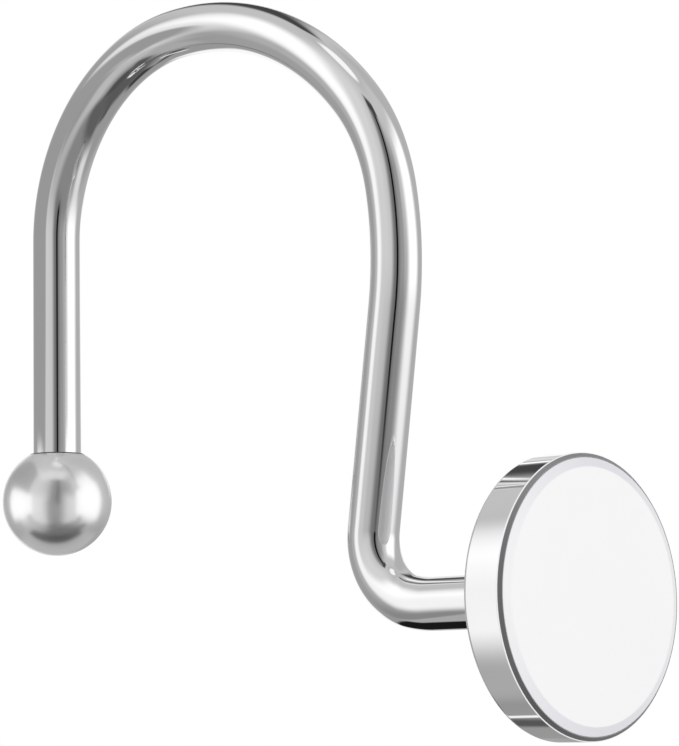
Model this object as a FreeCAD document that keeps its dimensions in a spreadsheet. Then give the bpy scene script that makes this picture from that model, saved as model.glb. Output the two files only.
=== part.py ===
"""Shower curtain hook: bent round wire, end ball, and a metal cup that holds a white bevelled face.

The hook hangs on a rod that runs along Y. The origin is the centre of the crown arc, so it is the rod's
axis. +X points from the rod to the decorative face, and +Z points up. Lengths are in millimetres and
angles in degrees.
"""

import FreeCAD, Part

import math
import os

import Sketcher

# Driving dimensions: alias, value, meaning
SIZES = [
    ("wire_dia", "4.0", "diameter of the round wire"),
    ("crown_radius", "15.6", "centre line radius of the arc that sits on the rod"),
    ("crown_turn", "86", "angle that the crown arc turns, from the short leg"),
    ("slope_radius", "24.2", "centre line radius of the flatter arc after the crown"),
    ("slope_turn", "53", "angle that the slope arc turns"),
    ("shoulder_radius", "15.3", "centre line radius of the shoulder"),
    ("shoulder_turn", "31", "angle that the shoulder turns"),
    ("flank_radius", "29.4", "centre line radius of the arc that leads into the long leg"),
    ("flank_turn", "18.2", "angle that the flank arc turns"),
    ("foot_radius", "5.0", "centre line radius of the tight bend at the bottom"),
    ("ease_radius", "12", "centre line radius where the foot bend runs out into the stub"),
    ("ease_turn", "10", "angle that this last arc turns"),
    ("short_leg_drop", "21.95", "from the rod axis down to the centre of the ball"),
    ("face_drop", "31.95", "from the rod axis down to the axis of the face"),
    ("cup_reach", "37.7", "from the rod axis forward to the back of the cup"),
    ("ball_dia", "9.1", "diameter of the end ball"),
    ("bore_depth", "4.6", "depth of the ball's blind bore, from its crown"),
    ("bore_mouth_chamfer", "0.15", "chamfer at the mouth of the bore"),
    ("seat_clearance", "0.02", "radial clearance of the wire in the ball and in the socket"),
    ("wire_end_chamfer", "0.3", "chamfer on both cut ends of the wire"),
    ("cup_dia", "20.6", "outside diameter of the cup"),
    ("cup_wall", "0.35", "thickness of the cup's side wall"),
    ("cup_floor", "1.2", "thickness of the cup's floor"),
    ("cup_back_chamfer", "0.2", "chamfer round the back edge of the cup"),
    ("lip_land", "0.05", "flat left at the top of the lip"),
    ("lip_drop", "0.30", "height of the lip's outward chamfer"),
    ("socket_depth", "0.6", "depth of the wire's socket in the floor"),
    ("collar_height", "0.7", "height and radius of the flared collar round the socket"),
    ("collar_edge", "0.15", "thickness of the collar at its tip"),
    ("insert_clearance", "0.01", "radial clearance of the insert in the cup"),
    ("insert_edge", "2.0", "thickness of the insert at its edge"),
    ("insert_back_chamfer", "0.2", "chamfer round the back of the insert"),
    ("bevel_width", "0.67", "width of the bevel round the face"),
    ("bevel_height", "0.23", "height of the bevel, and so of the face above the lip"),
    ("glue_thickness", "0.15", "thickness of the glue under the insert"),
    ("glue_margin", "0.6", "from the edge of the insert in to the edge of the glue"),
]

QUARTER_TURN = math.pi / 2

# Two radii, or two places, that differ by less than this count as the same.
SAME_PLACE = 1e-4


def make_sheet(doc):
    """Write the driving dimensions in the spreadsheet named sizes."""
    sheet = doc.addObject("Spreadsheet::Sheet", "sizes")
    for row, (alias, value, meaning) in enumerate(SIZES, start=1):
        sheet.set(f"A{row}", alias)
        sheet.set(f"B{row}", value)
        sheet.set(f"C{row}", meaning)
        sheet.setAlias(f"B{row}", alias)
    doc.recompute()
    return sheet


def make_body(doc, label, place):
    """Make a body whose Placement follows three expressions, one for each axis."""
    body = doc.addObject("PartDesign::Body", label)
    body.Label = label
    for axis, expression in zip("xyz", place):
        body.setExpression(f"Placement.Base.{axis}", expression)
    return body


def add_sketch(body, name, plane_role):
    """Add a sketch that lies flat on one of the body's own origin planes."""
    sketch = body.newObject("Sketcher::SketchObject", name)
    plane = next(f for f in body.Origin.OriginFeatures if f.Role == plane_role)
    sketch.AttachmentSupport = [(plane, "")]
    sketch.MapMode = "FlatFace"
    return sketch


def bind(sketch, kind, *args, name, expression):
    """Add a constraint whose value follows an expression of the sheet."""
    index = sketch.addConstraint(Sketcher.Constraint(kind, *args))
    sketch.renameConstraint(index, name)
    sketch.setExpression(f"Constraints.{name}", expression)


def point(x, y):
    return FreeCAD.Vector(x, y, 0)


def circle_edges(shape, radius, centre):
    """Names of the full circular edges of this radius about this centre."""
    names = []
    for number, edge in enumerate(shape.Edges, start=1):
        if isinstance(edge.Curve, Part.Circle) and abs(edge.Curve.Radius - radius) < SAME_PLACE:
            if edge.Curve.Center.distanceToPoint(centre) < SAME_PLACE:
                names.append(f"Edge{number}")
    if not names:
        raise RuntimeError(f"no circular edge of radius {radius} at {centre}")
    return names


def add_outline(sketch, corners):
    """Draw a closed outline: edge i leads from corner i to the next one, and edges meet end to start.

    A corner is (x, y), or (x, y, centre_x, centre_y) where an anticlockwise arc about that centre leads to
    it from the corner before. Such an arc runs on smoothly into the edge after it.
    """
    count = len(corners)
    for i in range(count):
        start = point(*corners[i][:2])
        end = point(*corners[(i + 1) % count][:2])
        centre = corners[(i + 1) % count][2:]
        if centre:
            spoke_in = start - point(*centre)
            spoke_out = end - point(*centre)
            circle = Part.Circle(point(*centre), FreeCAD.Vector(0, 0, 1), spoke_in.Length)
            low = math.atan2(spoke_in.y, spoke_in.x)
            sketch.addGeometry(Part.ArcOfCircle(circle, low, low + spoke_in.getAngle(spoke_out)))
        else:
            sketch.addGeometry(Part.LineSegment(start, end))
    for i in range(count):
        kind = "Tangent" if len(corners[(i + 1) % count]) > 2 else "Coincident"
        sketch.addConstraint(Sketcher.Constraint(kind, i, 2, (i + 1) % count, 1))


class WirePath:
    """Walks along the hook's centre line, to draw each run and arc as a smooth sequel to the last one.

    A sketch numbers the points of an edge: 1 is its start, 2 its end and 3 an arc's centre. Arcs are drawn
    anticlockwise, so the walk enters a right turn at its end and leaves it at its start.
    """

    def __init__(self, sketch, start, heading):
        self.sketch = sketch
        self.spot = start
        self.heading = heading
        self.last = ()

    def draw(self, edge, entry, leave):
        """Draw an edge that is tangent to the last one, and return its number in the sketch."""
        number = self.sketch.addGeometry(edge)
        if self.last:
            self.sketch.addConstraint(Sketcher.Constraint("Tangent", *self.last, number, entry))
        self.last = (number, leave)
        return number

    def run(self, length):
        """Draw a straight run and return its number in the sketch."""
        ahead = point(math.cos(self.heading), math.sin(self.heading))
        end = self.spot + ahead * length
        number = self.draw(Part.LineSegment(self.spot, end), 1, 2)
        self.spot = end
        return number

    def arc(self, radius, turn):
        """Draw an arc that turns left by a positive angle, or right by a negative one."""
        side = 1 if turn > 0 else -1
        left = point(-math.sin(self.heading), math.cos(self.heading))
        centre = self.spot + left * (side * radius)
        here = self.heading - side * QUARTER_TURN
        there = here + turn
        circle = Part.Circle(centre, FreeCAD.Vector(0, 0, 1), radius)
        self.spot = centre + point(math.cos(there), math.sin(there)) * radius
        self.heading += turn
        if turn > 0:
            return self.draw(Part.ArcOfCircle(circle, here, there), 1, 2)
        return self.draw(Part.ArcOfCircle(circle, there, here), 2, 1)


def make_hook_wire(doc, sheet):
    """The wire: short leg, crown, slope, shoulder, flank, long leg, foot bend, ease and stub."""
    body = make_body(doc, "hook_wire", ("0 mm", "0 mm", "0 mm"))
    path = add_sketch(body, "wire_path", "XZ_Plane")

    leg_length = sheet.short_leg_drop - sheet.ball_dia / 2 + sheet.bore_depth
    degrees = (sheet.crown_turn, sheet.slope_turn, sheet.shoulder_turn, sheet.flank_turn)
    turns = [math.radians(turn) for turn in degrees]
    lean = sum(turns) - QUARTER_TURN
    ease_turn = math.radians(sheet.ease_turn)
    walk = WirePath(path, point(-sheet.crown_radius, -leg_length), QUARTER_TURN)
    short_leg = walk.run(leg_length)
    crown = walk.arc(sheet.crown_radius, -turns[0])
    slope = walk.arc(sheet.slope_radius, -turns[1])
    shoulder = walk.arc(sheet.shoulder_radius, -turns[2])
    flank = walk.arc(sheet.flank_radius, -turns[3])
    foot_height = sheet.foot_radius * (math.cos(ease_turn) - math.cos(lean))
    ease_height = sheet.ease_radius * (1 - math.cos(ease_turn))
    foot_top = foot_height + ease_height - sheet.face_drop
    walk.run((walk.spot.y - foot_top) / math.sin(lean))
    foot = walk.arc(sheet.foot_radius, lean - ease_turn)
    ease = walk.arc(sheet.ease_radius, ease_turn)
    stub = walk.run(sheet.cup_reach + sheet.socket_depth - walk.spot.x)

    path.addConstraint(Sketcher.Constraint("Coincident", crown, 3, -1, 1))
    path.addConstraint(Sketcher.Constraint("PointOnObject", crown, 2, -1))
    path.addConstraint(Sketcher.Constraint("Horizontal", stub))

    arcs = {"crown": crown, "slope": slope, "shoulder": shoulder, "flank": flank, "ease": ease}
    for name, arc in arcs.items():
        radius = getattr(sheet, f"{name}_radius")
        turn = math.radians(getattr(sheet, f"{name}_turn"))
        bind(path, "Radius", arc, radius, name=f"{name}_radius", expression=f"sizes.{name}_radius")
        bind(path, "Angle", arc, turn, name=f"{name}_turn", expression=f"sizes.{name}_turn * 1 deg")
    bind(path, "Radius", foot, sheet.foot_radius, name="foot_radius", expression="sizes.foot_radius")
    bind(path, "Distance", short_leg, leg_length, name="short_leg_length",
         expression="sizes.short_leg_drop - sizes.ball_dia / 2 + sizes.bore_depth")
    bind(path, "DistanceY", stub, 2, -1, 1, sheet.face_drop, name="stub_drop",
         expression="sizes.face_drop")
    bind(path, "DistanceX", -1, 1, stub, 2, sheet.cup_reach + sheet.socket_depth, name="stub_end",
         expression="sizes.cup_reach + sizes.socket_depth")

    section = add_sketch(body, "wire_section", "XY_Plane")
    section.setExpression("AttachmentOffset.Base.x", "-sizes.crown_radius * 1 mm")
    section.setExpression("AttachmentOffset.Base.z",
                          "(sizes.ball_dia / 2 - sizes.short_leg_drop - sizes.bore_depth) * 1 mm")
    ring = section.addGeometry(Part.Circle(point(0, 0), FreeCAD.Vector(0, 0, 1), sheet.wire_dia / 2))
    section.addConstraint(Sketcher.Constraint("Coincident", ring, 3, -1, 1))
    bind(section, "Diameter", ring, sheet.wire_dia, name="wire_dia", expression="sizes.wire_dia")
    doc.recompute()

    bar = body.newObject("PartDesign::AdditivePipe", "bent_bar")
    bar.Profile = section
    bar.Spine = (path, [])
    doc.recompute()

    ends = body.newObject("PartDesign::Chamfer", "cut_ends")
    radius = sheet.wire_dia / 2
    foot_end = FreeCAD.Vector(-sheet.crown_radius, 0, -leg_length)
    stub_end = FreeCAD.Vector(sheet.cup_reach + sheet.socket_depth, 0, -sheet.face_drop)
    rims = circle_edges(bar.Shape, radius, foot_end) + circle_edges(bar.Shape, radius, stub_end)
    ends.Base = (bar, rims)
    ends.setExpression("Size", "sizes.wire_end_chamfer * 1 mm")
    return body


def add_revolution(body, name, sketch, kind, axis):
    """Turn a sketch a full turn about one of its own axes, as a solid or as a cut."""
    feature = body.newObject(f"PartDesign::{kind}", name)
    feature.Profile = sketch
    feature.ReferenceAxis = (sketch, [axis])
    feature.Angle = 360
    return feature


def make_end_ball(doc, sheet):
    """The ball on the free end, with the blind bore that the wire is pushed into."""
    body = make_body(doc, "end_ball", (
        "-sizes.crown_radius * 1 mm",
        "0 mm",
        "-sizes.short_leg_drop * 1 mm",
    ))
    radius = sheet.ball_dia / 2
    outline = add_sketch(body, "ball_outline", "XZ_Plane")
    circle = Part.Circle(point(0, 0), FreeCAD.Vector(0, 0, 1), radius)
    half = outline.addGeometry(Part.ArcOfCircle(circle, -QUARTER_TURN, QUARTER_TURN))
    axis = outline.addGeometry(Part.LineSegment(point(0, radius), point(0, -radius)))
    outline.addConstraint(Sketcher.Constraint("Coincident", half, 2, axis, 1))
    outline.addConstraint(Sketcher.Constraint("Coincident", half, 1, axis, 2))
    outline.addConstraint(Sketcher.Constraint("Coincident", half, 3, -1, 1))
    outline.addConstraint(Sketcher.Constraint("PointOnObject", half, 1, -2))
    outline.addConstraint(Sketcher.Constraint("PointOnObject", half, 2, -2))
    bind(outline, "Radius", half, radius, name="ball_radius", expression="sizes.ball_dia / 2")
    ball = add_revolution(body, "ball", outline, "Revolution", "V_Axis")
    doc.recompute()
    full_volume = ball.Shape.Volume

    bore_radius = sheet.wire_dia / 2 + sheet.seat_clearance
    mouth_height = math.sqrt(radius**2 - (bore_radius + sheet.bore_mouth_chamfer) ** 2)
    floor_height = radius - sheet.bore_depth
    chamfer = sheet.bore_mouth_chamfer
    bore = add_sketch(body, "bore_outline", "XZ_Plane")
    add_outline(bore, [
        (0, floor_height),
        (bore_radius, floor_height),
        (bore_radius, mouth_height - chamfer),
        (bore_radius + chamfer, mouth_height),
        (bore_radius + chamfer, radius),
        (0, radius),
    ])
    for line in (0, 4):
        bore.addConstraint(Sketcher.Constraint("Horizontal", line))
    for line in (1, 3, 5):
        bore.addConstraint(Sketcher.Constraint("Vertical", line))
    bore.addConstraint(Sketcher.Constraint("PointOnObject", 0, 1, -2))
    bind(bore, "DistanceX", -1, 1, 0, 2, bore_radius, name="bore_radius",
         expression="sizes.wire_dia / 2 + sizes.seat_clearance")
    bind(bore, "DistanceX", 1, 2, 2, 2, chamfer, name="mouth_width",
         expression="sizes.bore_mouth_chamfer")
    bind(bore, "DistanceY", 1, 2, 2, 2, chamfer, name="mouth_depth",
         expression="sizes.bore_mouth_chamfer")
    bind(bore, "DistanceY", 0, 1, 4, 2, sheet.bore_depth, name="bore_depth",
         expression="sizes.bore_depth")
    bind(bore, "DistanceY", -1, 1, 4, 2, radius, name="bore_top", expression="sizes.ball_dia / 2")
    mouth_radius = "sizes.wire_dia / 2 + sizes.seat_clearance + sizes.bore_mouth_chamfer"
    bind(bore, "DistanceY", -1, 1, 2, 2, mouth_height, name="mouth_height",
         expression=f"sqrt((sizes.ball_dia / 2) ^ 2 - ({mouth_radius}) ^ 2)")
    add_revolution(body, "bore", bore, "Groove", "V_Axis")
    doc.recompute()
    if body.Shape.Volume >= full_volume:
        raise RuntimeError("the ball's bore cuts nothing")
    return body


def make_bezel_cup(doc, sheet):
    """The cup: floor, thin wall, chamfered lip, and the flared socket on its back for the wire."""
    body = make_body(doc, "bezel_cup", ("sizes.cup_reach * 1 mm", "0 mm", "-sizes.face_drop * 1 mm"))
    outer = sheet.cup_dia / 2
    inner = outer - sheet.cup_wall
    bore = sheet.wire_dia / 2 + sheet.seat_clearance
    collar = sheet.collar_height
    tip = bore + sheet.collar_edge
    depth = sheet.cup_floor + sheet.glue_thickness + sheet.insert_edge
    outline = add_sketch(body, "cup_outline", "XZ_Plane")
    flare = 3
    add_outline(outline, [
        (sheet.socket_depth, 0),
        (sheet.socket_depth, bore),
        (-collar, bore),
        (-collar, tip),
        (0, tip + collar, -collar, tip + collar),
        (0, outer),
        (depth - sheet.lip_drop, outer),
        (depth, inner + sheet.lip_land),
        (depth, inner),
        (sheet.cup_floor, inner),
        (sheet.cup_floor, 0),
    ])
    for line in (1, 5, 8, 10):
        outline.addConstraint(Sketcher.Constraint("Horizontal", line))
    for line in (0, 2, 4, 7, 9):
        outline.addConstraint(Sketcher.Constraint("Vertical", line))
    outline.addConstraint(Sketcher.Constraint("PointOnObject", 0, 1, -1))
    outline.addConstraint(Sketcher.Constraint("PointOnObject", 4, 1, -2))
    bind(outline, "DistanceX", -1, 1, 0, 1, sheet.socket_depth, name="socket_depth",
         expression="sizes.socket_depth")
    bind(outline, "DistanceY", -1, 1, 0, 2, bore, name="socket_radius",
         expression="sizes.wire_dia / 2 + sizes.seat_clearance")
    bind(outline, "DistanceX", 1, 2, -1, 1, collar, name="collar_height",
         expression="sizes.collar_height")
    bind(outline, "DistanceY", 1, 2, 2, 2, sheet.collar_edge, name="collar_edge",
         expression="sizes.collar_edge")
    bind(outline, "Radius", flare, collar, name="collar_radius", expression="sizes.collar_height")
    bind(outline, "DistanceY", -1, 1, 4, 2, outer, name="cup_radius", expression="sizes.cup_dia / 2")
    bind(outline, "DistanceX", 5, 2, 6, 2, sheet.lip_drop, name="lip_drop", expression="sizes.lip_drop")
    bind(outline, "DistanceY", 7, 2, 7, 1, sheet.lip_land, name="lip_land", expression="sizes.lip_land")
    bind(outline, "DistanceY", -1, 1, 7, 2, inner, name="inside_radius",
         expression="sizes.cup_dia / 2 - sizes.cup_wall")
    bind(outline, "DistanceX", -1, 1, 6, 2, depth, name="cup_depth",
         expression="sizes.cup_floor + sizes.glue_thickness + sizes.insert_edge")
    bind(outline, "DistanceX", -1, 1, 8, 2, sheet.cup_floor, name="cup_floor",
         expression="sizes.cup_floor")
    shell = add_revolution(body, "shell", outline, "Revolution", "H_Axis")
    doc.recompute()

    back_edge = body.newObject("PartDesign::Chamfer", "back_edge")
    back_edge.Base = (shell, circle_edges(shell.Shape, outer, FreeCAD.Vector(0, 0, 0)))
    back_edge.setExpression("Size", "sizes.cup_back_chamfer * 1 mm")
    return body


def make_face_insert(doc, sheet):
    """The white disc with its bevelled edge, which stands a little proud of the lip."""
    body = make_body(doc, "face_insert", (
        "(sizes.cup_reach + sizes.cup_floor + sizes.glue_thickness) * 1 mm",
        "0 mm",
        "-sizes.face_drop * 1 mm",
    ))
    radius = sheet.cup_dia / 2 - sheet.cup_wall - sheet.insert_clearance
    back = sheet.insert_back_chamfer
    face = sheet.insert_edge + sheet.bevel_height
    outline = add_sketch(body, "insert_outline", "XZ_Plane")
    add_outline(outline, [
        (0, 0),
        (0, radius - back),
        (back, radius),
        (sheet.insert_edge, radius),
        (face, radius - sheet.bevel_width),
        (face, 0),
    ])
    for line in (0, 4):
        outline.addConstraint(Sketcher.Constraint("Vertical", line))
    for line in (2, 5):
        outline.addConstraint(Sketcher.Constraint("Horizontal", line))
    outline.addConstraint(Sketcher.Constraint("Coincident", 0, 1, -1, 1))
    bind(outline, "DistanceX", 1, 1, 1, 2, back, name="back_depth", expression="sizes.insert_back_chamfer")
    bind(outline, "DistanceY", 1, 1, 1, 2, back, name="back_width", expression="sizes.insert_back_chamfer")
    bind(outline, "DistanceY", -1, 1, 2, 2, radius, name="insert_radius",
         expression="sizes.cup_dia / 2 - sizes.cup_wall - sizes.insert_clearance")
    bind(outline, "DistanceX", -1, 1, 2, 2, sheet.insert_edge, name="insert_edge",
         expression="sizes.insert_edge")
    bind(outline, "DistanceX", 3, 1, 3, 2, sheet.bevel_height, name="bevel_height",
         expression="sizes.bevel_height")
    bind(outline, "DistanceY", 3, 2, 3, 1, sheet.bevel_width, name="bevel_width",
         expression="sizes.bevel_width")
    add_revolution(body, "disc", outline, "Revolution", "H_Axis")
    return body


def make_glue_layer(doc, sheet):
    """The thin round layer of glue between the cup's floor and the insert."""
    body = make_body(doc, "glue_layer", (
        "(sizes.cup_reach + sizes.cup_floor) * 1 mm",
        "0 mm",
        "-sizes.face_drop * 1 mm",
    ))
    radius = sheet.cup_dia / 2 - sheet.cup_wall - sheet.insert_clearance - sheet.glue_margin
    outline = add_sketch(body, "glue_outline", "YZ_Plane")
    ring = outline.addGeometry(Part.Circle(point(0, 0), FreeCAD.Vector(0, 0, 1), radius))
    outline.addConstraint(Sketcher.Constraint("Coincident", ring, 3, -1, 1))
    bind(outline, "Radius", ring, radius, name="glue_radius",
         expression="sizes.cup_dia / 2 - sizes.cup_wall - sizes.insert_clearance - sizes.glue_margin")
    layer = body.newObject("PartDesign::Pad", "layer")
    layer.Profile = outline
    layer.setExpression("Length", "sizes.glue_thickness * 1 mm")
    return body


def check_document(doc, bodies):
    """Stop if any object failed, or any body's shape is empty or broken."""
    for item in doc.Objects:
        if "Invalid" in item.State or "Error" in item.State:
            raise RuntimeError(f"{item.Name} failed: {item.State}")
    for body in bodies:
        if body.Shape.isNull() or not body.Shape.isValid() or len(body.Shape.Solids) != 1:
            raise RuntimeError(f"{body.Label} is not one valid solid")


def main():
    doc = FreeCAD.newDocument("shower_curtain_hook")
    sheet = make_sheet(doc)
    bodies = [
        make_hook_wire(doc, sheet),
        make_end_ball(doc, sheet),
        make_bezel_cup(doc, sheet),
        make_face_insert(doc, sheet),
        make_glue_layer(doc, sheet),
    ]
    doc.recompute()
    check_document(doc, bodies)
    os.makedirs("parts", exist_ok=True)
    for body in bodies:
        body.Shape.exportStep(f"parts/{body.Label}.step")
        print(body.Label, "volume", round(body.Shape.Volume, 3), "mm3")


main()
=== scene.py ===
"""Looks of a chromed shower curtain hook: bent wire, end ball, thin metal cup and white bevelled face.

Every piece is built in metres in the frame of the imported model: the origin is the axis of the curtain
rod, +X points to the decorative face and +Z up. Sizes are written in millimetres and turned to metres.
"""

import logging
import math
from dataclasses import dataclass
from enum import Enum
from functools import cache
from typing import ClassVar, Iterable, Sequence

import bmesh
import bpy
from bmesh.types import BMesh
from bpy.types import Material, Node, NodeSocket as Socket, NodeTree, Object
from mathutils import Euler, Matrix, Vector


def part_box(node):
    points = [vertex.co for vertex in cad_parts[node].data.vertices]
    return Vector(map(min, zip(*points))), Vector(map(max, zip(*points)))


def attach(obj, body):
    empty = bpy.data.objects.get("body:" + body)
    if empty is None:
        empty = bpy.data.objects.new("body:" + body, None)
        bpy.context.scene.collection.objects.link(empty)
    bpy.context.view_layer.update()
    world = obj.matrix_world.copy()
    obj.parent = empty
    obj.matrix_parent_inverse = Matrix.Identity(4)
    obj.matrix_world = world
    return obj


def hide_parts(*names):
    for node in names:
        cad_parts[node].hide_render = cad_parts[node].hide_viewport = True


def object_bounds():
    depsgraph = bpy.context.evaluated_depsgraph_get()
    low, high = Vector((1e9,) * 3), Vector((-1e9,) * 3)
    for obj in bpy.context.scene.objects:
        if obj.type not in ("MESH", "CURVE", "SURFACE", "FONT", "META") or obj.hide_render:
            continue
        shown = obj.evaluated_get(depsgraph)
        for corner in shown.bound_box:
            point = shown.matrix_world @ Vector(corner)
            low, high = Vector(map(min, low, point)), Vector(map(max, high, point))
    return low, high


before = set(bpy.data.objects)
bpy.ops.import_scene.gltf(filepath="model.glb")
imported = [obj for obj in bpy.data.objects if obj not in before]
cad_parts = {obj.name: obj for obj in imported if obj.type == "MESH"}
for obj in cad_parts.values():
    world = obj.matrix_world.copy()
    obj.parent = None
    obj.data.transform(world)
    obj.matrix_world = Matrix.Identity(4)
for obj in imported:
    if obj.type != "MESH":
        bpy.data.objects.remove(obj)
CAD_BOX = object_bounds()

log = logging.getLogger("curtain_hook")

MM = 0.001
BODY = "root"
WHITE = (1.0, 1.0, 1.0)
# Half a turn, in degrees.
HALF_TURN = 180.0
# Edges of a mesh that turn by more than this, in degrees, stay sharp.
SHARP_ANGLE = 30.0
# A profile's point nearer its axis than this, in millimetres, is a single vertex.
ON_AXIS = 1e-9

Point2 = tuple[float, float]
Colour = tuple[float, float, float]
Value = Socket | float | Colour
Inputs = tuple[tuple[str, float], ...]
Layer = tuple[Value, Socket]


class Slot(Enum):
    """The record's material slots."""

    WIRE = "polished_wire"
    BALL = "polished_ball"
    CUP = "polished_cup"
    FACE = "white_face"
    GLUE = "clear_glue"


class SocketKind(Enum):
    """The kinds of socket that a group has."""

    NUMBER = "NodeSocketFloat"
    VECTOR = "NodeSocketVector"
    COLOUR = "NodeSocketColor"


class TurnAxis(Enum):
    """The axis that a turned piece is turned about."""

    ALONG_X = "x"
    ALONG_Z = "z"


@dataclass(frozen=True)
class Corner:
    """A corner of a turned profile, in millimetres.

    Args:
        along: place along the axis.
        out: distance from the axis.
        radius: radius that rounds the corner, or 0 for a sharp one.
    """

    along: float
    out: float
    radius: float = 0.0


def rounded_profile(corners: Sequence[Corner], steps: int = 6, guard: float = 0.04) -> list[Point2]:
    """Turn corners into a profile with round corners and a guard point each side of every round.

    The guard points keep the shading of the flats beside a round flat.

    Args:
        corners: the profile's corners in order.
        steps: facets in each round.
        guard: distance from the end of a round to its guard point, in millimetres.

    Returns:
        The profile's points as (along, out), in millimetres.
    """
    points: list[Point2] = []
    for number, corner in enumerate(corners):
        here = Vector((corner.along, corner.out))
        if corner.radius == 0.0:
            points.append(tuple(here))
            continue
        before = Vector((corners[number - 1].along, corners[number - 1].out))
        after = Vector((corners[number + 1].along, corners[number + 1].out))
        to_before = (before - here).normalized()
        to_after = (after - here).normalized()
        half = to_before.angle(to_after) / 2
        reach = corner.radius / math.tan(half)
        centre = here + (to_before + to_after).normalized() * (corner.radius / math.sin(half))
        start = here + to_before * reach
        end = here + to_after * reach
        points.append(tuple(start + to_before * min(guard, 0.5 * ((before - here).length - reach))))
        turn = (start - centre).angle_signed(end - centre)
        for step in range(steps + 1):
            spoke = (start - centre).copy()
            spoke.rotate(Matrix.Rotation(-turn * step / steps, 2))
            points.append(tuple(centre + spoke))
        points.append(tuple(end + to_after * min(guard, 0.5 * ((after - here).length - reach))))
    return points


def finish_mesh(name: str, build: BMesh) -> Object:
    """Turn a bmesh into a smooth-shaded object whose faces look outward.

    Args:
        name: the piece's name.
        build: the mesh to use up.

    Returns:
        The object, linked to the scene.
    """
    bmesh.ops.recalc_face_normals(build, faces=build.faces)
    mesh = bpy.data.meshes.new(name)
    build.to_mesh(mesh)
    build.free()
    mesh.shade_smooth()
    mesh.set_sharp_from_angle(angle=math.radians(SHARP_ANGLE))
    piece = bpy.data.objects.new(name, mesh)
    bpy.context.scene.collection.objects.link(piece)
    return piece


def loft(name: str, rings: Iterable[Sequence[Vector]]) -> Object:
    """Join rings of points, or single points, one to the next with faces.

    Args:
        name: the piece's name.
        rings: the points of each ring, in metres.

    Returns:
        The piece.
    """
    build = bmesh.new()
    made = [[build.verts.new(point) for point in ring] for ring in rings]
    for first, second in zip(made, made[1:]):
        count = max(len(first), len(second))
        for i in range(count):
            j = (i + 1) % count
            corners = ((first, i), (first, j), (second, j), (second, i))
            around = [ring[number % len(ring)] for ring, number in corners]
            build.faces.new([vertex for n, vertex in enumerate(around) if vertex not in around[:n]])
    return finish_mesh(name, build)


def centre_of(node: str) -> Vector:
    """Return the middle of a CAD node's box, in metres."""
    low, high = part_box(node)
    return (low + high) / 2


class Graph:
    """A node tree with short ways to add nodes and links."""

    def __init__(self, tree: NodeTree) -> None:
        """Wrap a node tree."""
        self.tree = tree

    def add(self, kind: str, inputs: dict | None = None, **settings: object) -> Node:
        """Add a node, set it up and connect it.

        Args:
            kind: the node's type name.
            inputs: socket name or number to a plain value, or to an output socket to link from.
            settings: properties of the node.

        Returns:
            The new node.
        """
        node = self.tree.nodes.new(kind)
        for name, value in settings.items():
            setattr(node, name, value)
        for name, value in (inputs or {}).items():
            socket = node.inputs[name]
            if isinstance(value, Socket):
                self.tree.links.new(value, socket)
            else:
                socket.default_value = (*value, 1.0) if socket.type == "RGBA" else value
        return node

    def result(self, kind: str, inputs: dict | None = None, **settings: object) -> Socket:
        """Add a node and return its first output."""
        return self.add(kind, inputs, **settings).outputs[0]

    def math(self, operation: str, *values: Value) -> Socket:
        """Return the result of a Math node on these values."""
        return self.result("ShaderNodeMath", dict(enumerate(values)), operation=operation)

    def distance(self, across: Socket, up: Socket) -> Socket:
        """Return the length of two distances that are square to each other."""
        squares = [self.math("MULTIPLY", value, value) for value in (across, up)]
        return self.math("SQRT", self.math("ADD", *squares))

    def spread(
        self, value: Socket, start: float, end: float, low: Value = 0.0, high: Value = 1.0
    ) -> Socket:
        """Return the value with its range from start to end spread from low to high."""
        limits = {"Value": value, "From Min": start, "From Max": end, "To Min": low, "To Max": high}
        return self.result("ShaderNodeMapRange", limits)

    def step(self, value: Socket, start: Value, end: Value) -> Socket:
        """Return a soft step from 0, where the value is start, to 1, where it is end."""
        limits = {"Value": value, "From Min": start, "From Max": end}
        return self.result("ShaderNodeMapRange", limits, interpolation_type="SMOOTHSTEP")

    def split(self, vector: Socket) -> bpy.types.bpy_prop_collection:
        """Return the outputs X, Y and Z of a vector."""
        return self.add("ShaderNodeSeparateXYZ", {0: vector}).outputs

    def noise(self, place: Socket, scale: Value, detail: float, roughness: float = 0.5) -> Socket:
        """Return cloudy noise at a place."""
        inputs = {"Vector": place, "Scale": scale, "Detail": detail, "Roughness": roughness}
        return self.add("ShaderNodeTexNoise", inputs).outputs["Fac"]

    def blend(self, share: Value, first: Value, second: Value) -> Socket:
        """Return two colours mixed: the first at a share of 0 and the second at 1."""
        return self.add("ShaderNodeMix", {0: share, 6: first, 7: second}, data_type="RGBA").outputs[2]

    def cover(self, share: Value, under: Socket, over: Socket) -> Socket:
        """Return two shaders mixed: the one under at a share of 0 and the one over at 1."""
        return self.result("ShaderNodeMixShader", {0: share, 1: under, 2: over})

    def glow(self, colour: Value) -> Socket:
        """Return a shader that glows in a colour."""
        return self.result("ShaderNodeEmission", {"Color": colour, "Strength": 1.0})

    def seen(self) -> Socket:
        """Tell rays that show a thing from rays that it lights other things by.

        Returns:
            1 for a ray from the camera, a mirror or through something clear, and 0 for the others.
        """
        path = self.add("ShaderNodeLightPath").outputs
        direct = self.math("ADD", path["Is Camera Ray"], path["Is Glossy Ray"])
        return self.math("MINIMUM", self.math("ADD", direct, path["Is Transmission Ray"]), 1.0)


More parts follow.
